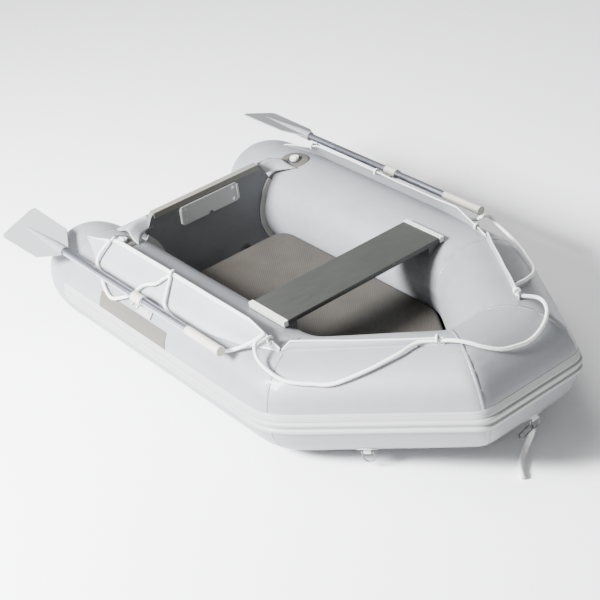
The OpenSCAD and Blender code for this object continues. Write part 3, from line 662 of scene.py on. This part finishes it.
def smooth_route(points):
    """Centripetal Catmull-Rom through the points, at even steps, and its length."""
    p = np.asarray(points, float) / 1000
    p = np.concatenate([[2 * p[0] - p[1]], p, [2 * p[-1] - p[-2]]])
    fine = []
    for i in range(1, len(p) - 2):
        t = [0.0]
        for k in range(3):
            t.append(t[-1] + np.linalg.norm(p[i + k] - p[i + k - 1]) ** 0.5)
        for u in np.linspace(t[1], t[2], 24, endpoint=False):
            a = [
                (t[k + 1] - u) / (t[k + 1] - t[k]) * p[i - 1 + k]
                + (u - t[k]) / (t[k + 1] - t[k]) * p[i + k]
                for k in range(3)
            ]
            b = [
                (t[k + 2] - u) / (t[k + 2] - t[k]) * a[k] + (u - t[k]) / (t[k + 2] - t[k]) * a[k + 1]
                for k in range(2)
            ]
            fine.append((t[2] - u) / (t[2] - t[1]) * b[0] + (u - t[1]) / (t[2] - t[1]) * b[1])
    fine.append(p[-2])
    fine = np.array(fine)
    run = np.concatenate([[0], np.cumsum(np.linalg.norm(np.diff(fine, axis=0), axis=1))])
    even = np.linspace(0, run[-1], int(run[-1] / ROPE_STEP) + 1)
    return np.stack([np.interp(even, run, fine[:, k]) for k in range(3)], 1), float(run[-1])


def carried_frames(path):
    """Two directions across the path at each point, carried along it without a twist."""
    tangents = np.gradient(path, axis=0)
    tangents /= np.linalg.norm(tangents, axis=1)[:, None]
    normal = np.array([0.3, 0.5, 0.8])
    normals = []
    for t in tangents:
        normal = normal - t * (normal @ t)
        normal /= np.linalg.norm(normal)
        normals.append(normal)
    normals = np.array(normals)
    return normals, np.cross(tangents, normals)


def strands(around, lay):
    """Relief of strands that cross in two directions, as a share of the rope's radius."""
    weave = np.abs(np.sin(3 * around + lay)) * np.abs(np.sin(3 * around - lay))
    return 0.93 + 0.11 * weave


def braided(name, path, radius, body, replaced=(), taper=0.0):
    """A rope whose strands cross in two directions, as real relief in the mesh."""
    side, other = carried_frames(path)
    sides = 24
    run = np.arange(len(path)) * ROPE_STEP
    a = np.linspace(0, 2 * math.pi, sides, endpoint=False)
    r = radius * strands(a, run[:, None] / radius * 1.15)
    if taper:
        ends = np.minimum(run, run[-1] - run)[:, None]
        r = r * (1 - taper * np.exp(-((ends / 0.004) ** 2)))
    across, along_other = np.cos(a)[None, :, None], np.sin(a)[None, :, None]
    radial = across * side[:, None] + along_other * other[:, None]
    rings = path[:, None, :] + r[..., None] * radial
    return loft(name, rings, ROPE, body, replaced)


SIDE_EYES, BOW_EYE = (0.210, 0.625, 1.205), 0.570
HITCH_RADIUS, HITCH_WIRE = 0.010, 0.005


def hitch(name, leg, table, s, mirror):
    """A turn of the lifeline through an eyelet and over the flap's edge."""
    a = math.radians(np.interp(s, table[:, 0], table[:, 1]))
    base = (tube_r + 0.002) * np.array([math.cos(a), math.sin(a)])
    top = np.array([np.interp(s, table[:, 0], table[:, k]) for k in (2, 3)])
    v = (top - base) / np.linalg.norm(top - base)
    n = np.array([v[1], -v[0]])
    at = top - 0.004 * v + 0.002 * n
    centre = corners[leg] + along[leg] * s + at[0] * out[leg] + at[1] * up[leg]
    rise_3, face_3 = (q[0] * out[leg] + q[1] * up[leg] for q in (v, n))
    b = np.linspace(0, 2 * math.pi, 20, endpoint=False)
    rings = []
    for t in np.linspace(0, 2 * math.pi, 48, endpoint=False):
        radial = math.cos(t) * rise_3 + math.sin(t) * face_3
        r = (HITCH_WIRE * strands(b, 6 * t))[:, None]
        wire = (HITCH_RADIUS + r * np.cos(b)[:, None]) * radial
        wire = wire + r * np.sin(b)[:, None] * along[leg]
        rings.append(centre + wire)
    rings = mirrored(rings) if mirror else rings
    return loft(name, rings, ROPE, "hull", ["lifeline_hitches"], loop=True)


for mirror, side in ((False, "starboard"), (True, "port")):
    for k, s in enumerate(SIDE_EYES):
        hitch(f"hitch_{side}_{k + 1}", 0, SIDE_FLAP, s, mirror)
    hitch(f"hitch_bow_{side}", 1, BOW_FLAP, BOW_EYE, mirror)

line_path, line_length = smooth_route(LINE_SIDE + LINE_BOW + LINE_PORT)
lifeline = braided("lifeline_rope", line_path, 0.007, "hull", ["lifeline"])
painter_path, painter_length = smooth_route(PAINTER)
painter = braided("painter", painter_path, 0.010, "tow_ring_bow", ["painter_rope"], 0.25)


# Deck, bottom and keel ------------------------------------------------------------------


def half_deck():
    """The deck's outline on the starboard side, from its aft corner to its tip."""
    aft, half, corner = -0.555, 0.269, 0.060
    points = [
        (aft + corner + corner * math.cos(t), -half + corner + corner * math.sin(t))
        for t in np.linspace(math.pi, 1.5 * math.pi, 13)
    ]
    tip = (0.770, 0.034)
    knees = [(0.395, -half), (0.712, -0.068), (tip[0], -tip[1])]
    for k, (x, y) in enumerate(knees):
        before = np.array(points[-1] if k == 0 else knees[k - 1])
        after = np.array(knees[k + 1] if k < 2 else tip)
        at = np.array([x, y])
        # Each knee is rounded over its own distance
        reach = (0.05, 0.025, 0.02)[k]
        a = at + (before - at) / np.linalg.norm(before - at) * reach
        b = at + (after - at) / np.linalg.norm(after - at) * reach
        for t in np.linspace(0, 1, 9):
            q = (1 - t) ** 2 * a + 2 * t * (1 - t) * at + t**2 * b
            points.append(tuple(q))
    return points


def air_deck():
    """Drop-stitch deck: flat faces, rounded rim, a welded tape round its side."""
    half = half_deck()
    outline = np.array(half + [(x, -y) for x, y in reversed(half)])
    step_a = outline - np.roll(outline, 1, 0)
    step_b = np.roll(outline, -1, 0) - outline
    direction = step_a / np.linalg.norm(step_a, axis=1)[:, None]
    direction = direction + step_b / np.linalg.norm(step_b, axis=1)[:, None]
    direction /= np.linalg.norm(direction, axis=1)[:, None]
    inward = np.stack([-direction[:, 1], direction[:, 0]], 1)
    top, under, edge = 0.172, 0.106, 0.014
    tape_out, tape_from_face = 0.0008, 0.026
    crown_in, crown = 0.030, 0.0006
    turn = np.linspace(0, math.pi / 2, 7)
    profile = [(edge * (1 - math.sin(t)), under + edge * (1 - math.cos(t))) for t in turn]
    profile += [(-tape_out, under + tape_from_face), (-tape_out, top - tape_from_face)]
    profile += [(edge * (1 - math.sin(t)), top - edge * (1 - math.cos(t))) for t in turn[::-1]]
    profile.append((crown_in, top + crown))
    rings = []
    for inset, z in profile:
        flat = outline + inward * inset
        rings.append(np.concatenate([flat, np.full((len(flat), 1), z)], 1))
    return loft("air_deck_mat", rings, DECK, "hull", ["air_deck"])


deck = air_deck()
sharpen(deck, 60)

# Stations of the bottom: x, half its width, and the heights of its side and of its middle
BOTTOM = np.array(
    [
        [-0.6695, 0.338, 0.046, 0.008],
        [0.422, 0.338, 0.046, 0.008],
        [0.574, 0.236, 0.075, 0.014],
        [0.684, 0.161, 0.094, 0.036],
        [0.774, 0.100, 0.110, 0.064],
        [0.839, 0.056, 0.121, 0.096],
    ]
)


def hull_bottom():
    columns = np.linspace(-1, 1, 33)
    rings = []
    for x in np.linspace(BOTTOM[0, 0], BOTTOM[-1, 0], 60):
        half, side, keel = (np.interp(x, BOTTOM[:, 0], BOTTOM[:, k]) for k in (1, 2, 3))
        lift = (np.abs(columns) ** 1.25) * (side - keel)
        low = [(x, half * c, keel + z) for c, z in zip(columns, lift)]
        high = [(x, half * c, keel + z + 0.002) for c, z in zip(columns, lift)]
        rings.append(low + high[::-1])
    return loft("hull_bottom", rings, HULL_CLOTH, "hull", ["bottom_fabric"])


bottom_sheet = hull_bottom()


def keel():
    """A tube under the deck with rounded ends."""
    radius, a, b, z, end_length = 0.046, -0.610, 0.440, 0.058, 0.05
    turn = np.linspace(0, 2 * math.pi, 32, endpoint=False)
    rings = []
    for s in np.linspace(0, 1, 60):
        x = a + (b - a) * s
        ends = min(s, 1 - s) * (b - a) / end_length
        r = radius * math.sqrt(max(0.002, 1 - max(0.0, 1 - ends) ** 2))
        rings.append(np.stack([np.full(len(turn), x), r * np.cos(turn), z + r * np.sin(turn)], 1))
    return loft("keel_air_tube", rings, HULL_CLOTH, "hull", ["keel_tube"])


keel()


# Transom gussets ------------------------------------------------------------------------

TRANSOM_X = -0.692
FOOT_FROM, FOOT_LENGTH = -0.778, 0.191


def gusset(name, mirror):
    """Cloth from the transom's upper corner, fanned out to a foot along the tube's top."""
    across, down = 18, 12
    upper, lower = [], []
    for i in range(across + 1):
        s = i / across
        x = FOOT_FROM + FOOT_LENGTH * s
        a = math.radians(110 - 4 * s)
        over_holder = 0.024 * math.exp(-(((x - TRANSOM_X) / 0.04) ** 2))
        r = tube_r + 0.003 + over_holder
        foot = np.array([x, -tube_y - r * math.cos(a), tube_r + r * math.sin(a)])
        head = np.array([-0.705 + 0.026 * s, -0.284, 0.436 - 0.05 * s])
        for j in range(down + 1):
            t = j / down
            p = head * (1 - t) + foot * t
            p[0] -= 0.030 * math.sin(math.pi * t) * s
            p[2] += 0.010 * math.sin(math.pi * t) * math.sin(math.pi * s)
            upper.append(p)
            lower.append(p - np.array([0, 0, 0.0018]))
    grid = np.array(upper).reshape(across + 1, down + 1, 3)
    under = np.array(lower).reshape(across + 1, down + 1, 3)
    rings = np.concatenate([grid, under[:, ::-1]], 1)
    rings = mirrored(rings) if mirror else rings
    made = loft(name, rings, WING, "hull", ["transom_wings"])


gusset("transom_gusset_starboard", False)
gusset("transom_gusset_port", True)


# Oarlock patches, valve patches ---------------------------------------------------------

PATCH_FROM, PATCH_TO = -0.555, -0.109
VALVE_X = -0.655
# Radius and lift of the valve patch's rings, from its hole to its rim and back below
DISH_PROFILE = (
    (0.029, 0.0010),
    (0.040, 0.0012),
    (0.055, 0.0014),
    (0.0655, 0.0014),
    (0.0665, -0.001),
    (0.029, -0.001),
)

for mirror, side in ((False, "starboard"), (True, "port")):
    a, b = PATCH_FROM - cone_x, PATCH_TO - cone_x
    if mirror:
        a, b = starts[5] - b, starts[5] - a
    band(
        f"oarlock_patch_{side}", a, b, 12.5, 32.5, 0.0014, PATCH,
        replaced=["oarlock_patches"],
    )


def valve_dish(name, mirror):
    """Round reinforcing patch that dips towards the valve."""
    lean = math.radians(96)
    centre = np.array([VALVE_X, -tube_y, tube_r])
    turn = np.linspace(0, 2 * math.pi, 48, endpoint=False)
    rings = []
    for radius, lift in DISH_PROFILE:
        ring = []
        for t in turn:
            a = lean - radius * math.cos(t) / tube_r
            r = tube_r + lift
            ring.append(centre + np.array([radius * math.sin(t), -r * math.cos(a), r * math.sin(a)]))
        rings.append(ring)
    rings = np.array(rings)
    return loft(name, mirrored(rings) if mirror else rings, PATCH, "hull", loop=True)


valve_dish("valve_patch_starboard", False)
valve_dish("valve_patch_port", True)


# Seat -----------------------------------------------------------------------------------


def seat_plank():
    low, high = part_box("seat_board")
    bevel = 0.004
    corners_at = [
        (low.x + bevel, low.z + bevel, 180), (high.x - bevel, low.z + bevel, 270),
        (high.x - bevel, high.z - bevel, 0), (low.x + bevel, high.z - bevel, 90),
    ]
    profile = []
    for x, z, start in corners_at:
        for t in np.linspace(start, start + 90, 6):
            q = math.radians(t)
            profile.append((x + bevel * math.cos(q), z + bevel * math.sin(q)))
    rings = [[(x, y, z) for x, z in profile] for y in np.linspace(low.y, high.y, 30)]
    made = loft("seat_plank", rings, SEAT, "seat", ["seat_board"])
    sharpen(made, 50)


seat_plank()


# Materials of the CAD nodes that show ---------------------------------------------------

FINISHES = {
    "deck_valve_body": BLACK, "deck_valve_cap": CAP, "transom_board": BOARD, "transom_cap": TRIM,
    "motor_pad_inner": PAD, "motor_pad_outer": OUTER_PAD, "pad_bolts": BOLT,
    "transom_holder_starboard": HOLDER, "transom_holder_port": HOLDER, "drain_body": BLACK,
    "drain_plug": BLACK, "valve_body_starboard": BLACK, "valve_cap_starboard": CAP,
    "valve_body_port": BLACK, "valve_cap_port": CAP, "flap_eyelets": BOLT,
    "oarlock_base_starboard": BASE, "oarlock_base_port": BASE, "oarlock_starboard": COLLAR,
    "oarlock_port": COLLAR, "oar_shaft_starboard": SHAFT, "oar_shaft_port": SHAFT,
    "oar_blade_starboard": BLADE, "oar_blade_port": BLADE, "oar_grip_starboard": GRIP,
    "oar_grip_port": GRIP, "seat_rests": DARK_RUBBER, "seat_end_caps": SEAT_TRIM,
    "ring_patches": RING_PATCH, "tow_ring_bow": RING, "tow_ring_starboard": RING,
    "tow_ring_port": RING, "carabiner": RING, "carabiner_gate": RING,
}
for node, material in FINISHES.items():
    materials = nodes[node].data.materials
    if len(materials):
        for k in range(len(materials)):
            materials[k] = material
    else:
        materials.append(material)


# Floor, light and camera ----------------------------------------------------------------


def pale_floor():
    mesh = bpy.data.meshes.new("floor")
    half = 30.0
    corners_at = [(-half, -half, 0), (half, -half, 0), (half, half, 0), (-half, half, 0)]
    mesh.from_pydata(corners_at, [], [(0, 1, 2, 3)])
    made = bpy.data.objects.new("floor", mesh)
    scene.collection.objects.link(made)
    m = Shader("floor_pale", 0.9)
    m.colours(m.noise(0.4, 2.0), [(0.3, (0.95, 0.95, 0.95)), (0.7, (0.97, 0.97, 0.97))])
    mesh.materials.append(m.material)


pale_floor()
world = bpy.data.worlds.new("pale_world")
world.use_nodes = True
world.node_tree.nodes["Background"].inputs["Color"].default_value = (0.97, 0.98, 1.0, 1)
world.node_tree.nodes["Background"].inputs["Strength"].default_value = 0.42
scene.world = world


def area_light(name, at, target, size, watts, colour=(1, 1, 1)):
    data = bpy.data.lights.new(name, "AREA")
    data.size = size
    data.energy = watts
    data.color = colour
    made = bpy.data.objects.new(name, data)
    made.location = at
    made.rotation_mode = "QUATERNION"
    made.rotation_quaternion = (Vector(target) - Vector(at)).to_track_quat("-Z", "Y")
    scene.collection.objects.link(made)


area_light("key_softbox", (-1.2, -4.6, 3.6), (0, 0, 0.2), 1.6, 2500, (0.97, 0.98, 1.0))
area_light("top_softbox", (-0.8, -0.6, 4.8), (0, 0, 0.2), 3.0, 160)


def photo_camera():
    """The camera that was fitted to the photo together with the hull."""
    right = Vector((0.62642325, 0.77075931, -0.11629274))
    upward = Vector((-0.35266251, 0.41329098, 0.83953542))
    forward = Vector((-0.69514248, 0.48489241, -0.53071299))
    data = bpy.data.cameras.new("camera")
    data.sensor_width = 36
    data.lens = 88.71
    made = bpy.data.objects.new("camera", data)
    made.location = (4.01216, -2.87995, 3.27682)
    made.rotation_mode = "QUATERNION"
    made.rotation_quaternion = Matrix((right, upward, -forward)).transposed().to_quaternion()
    scene.collection.objects.link(made)
    scene.camera = made


photo_camera()
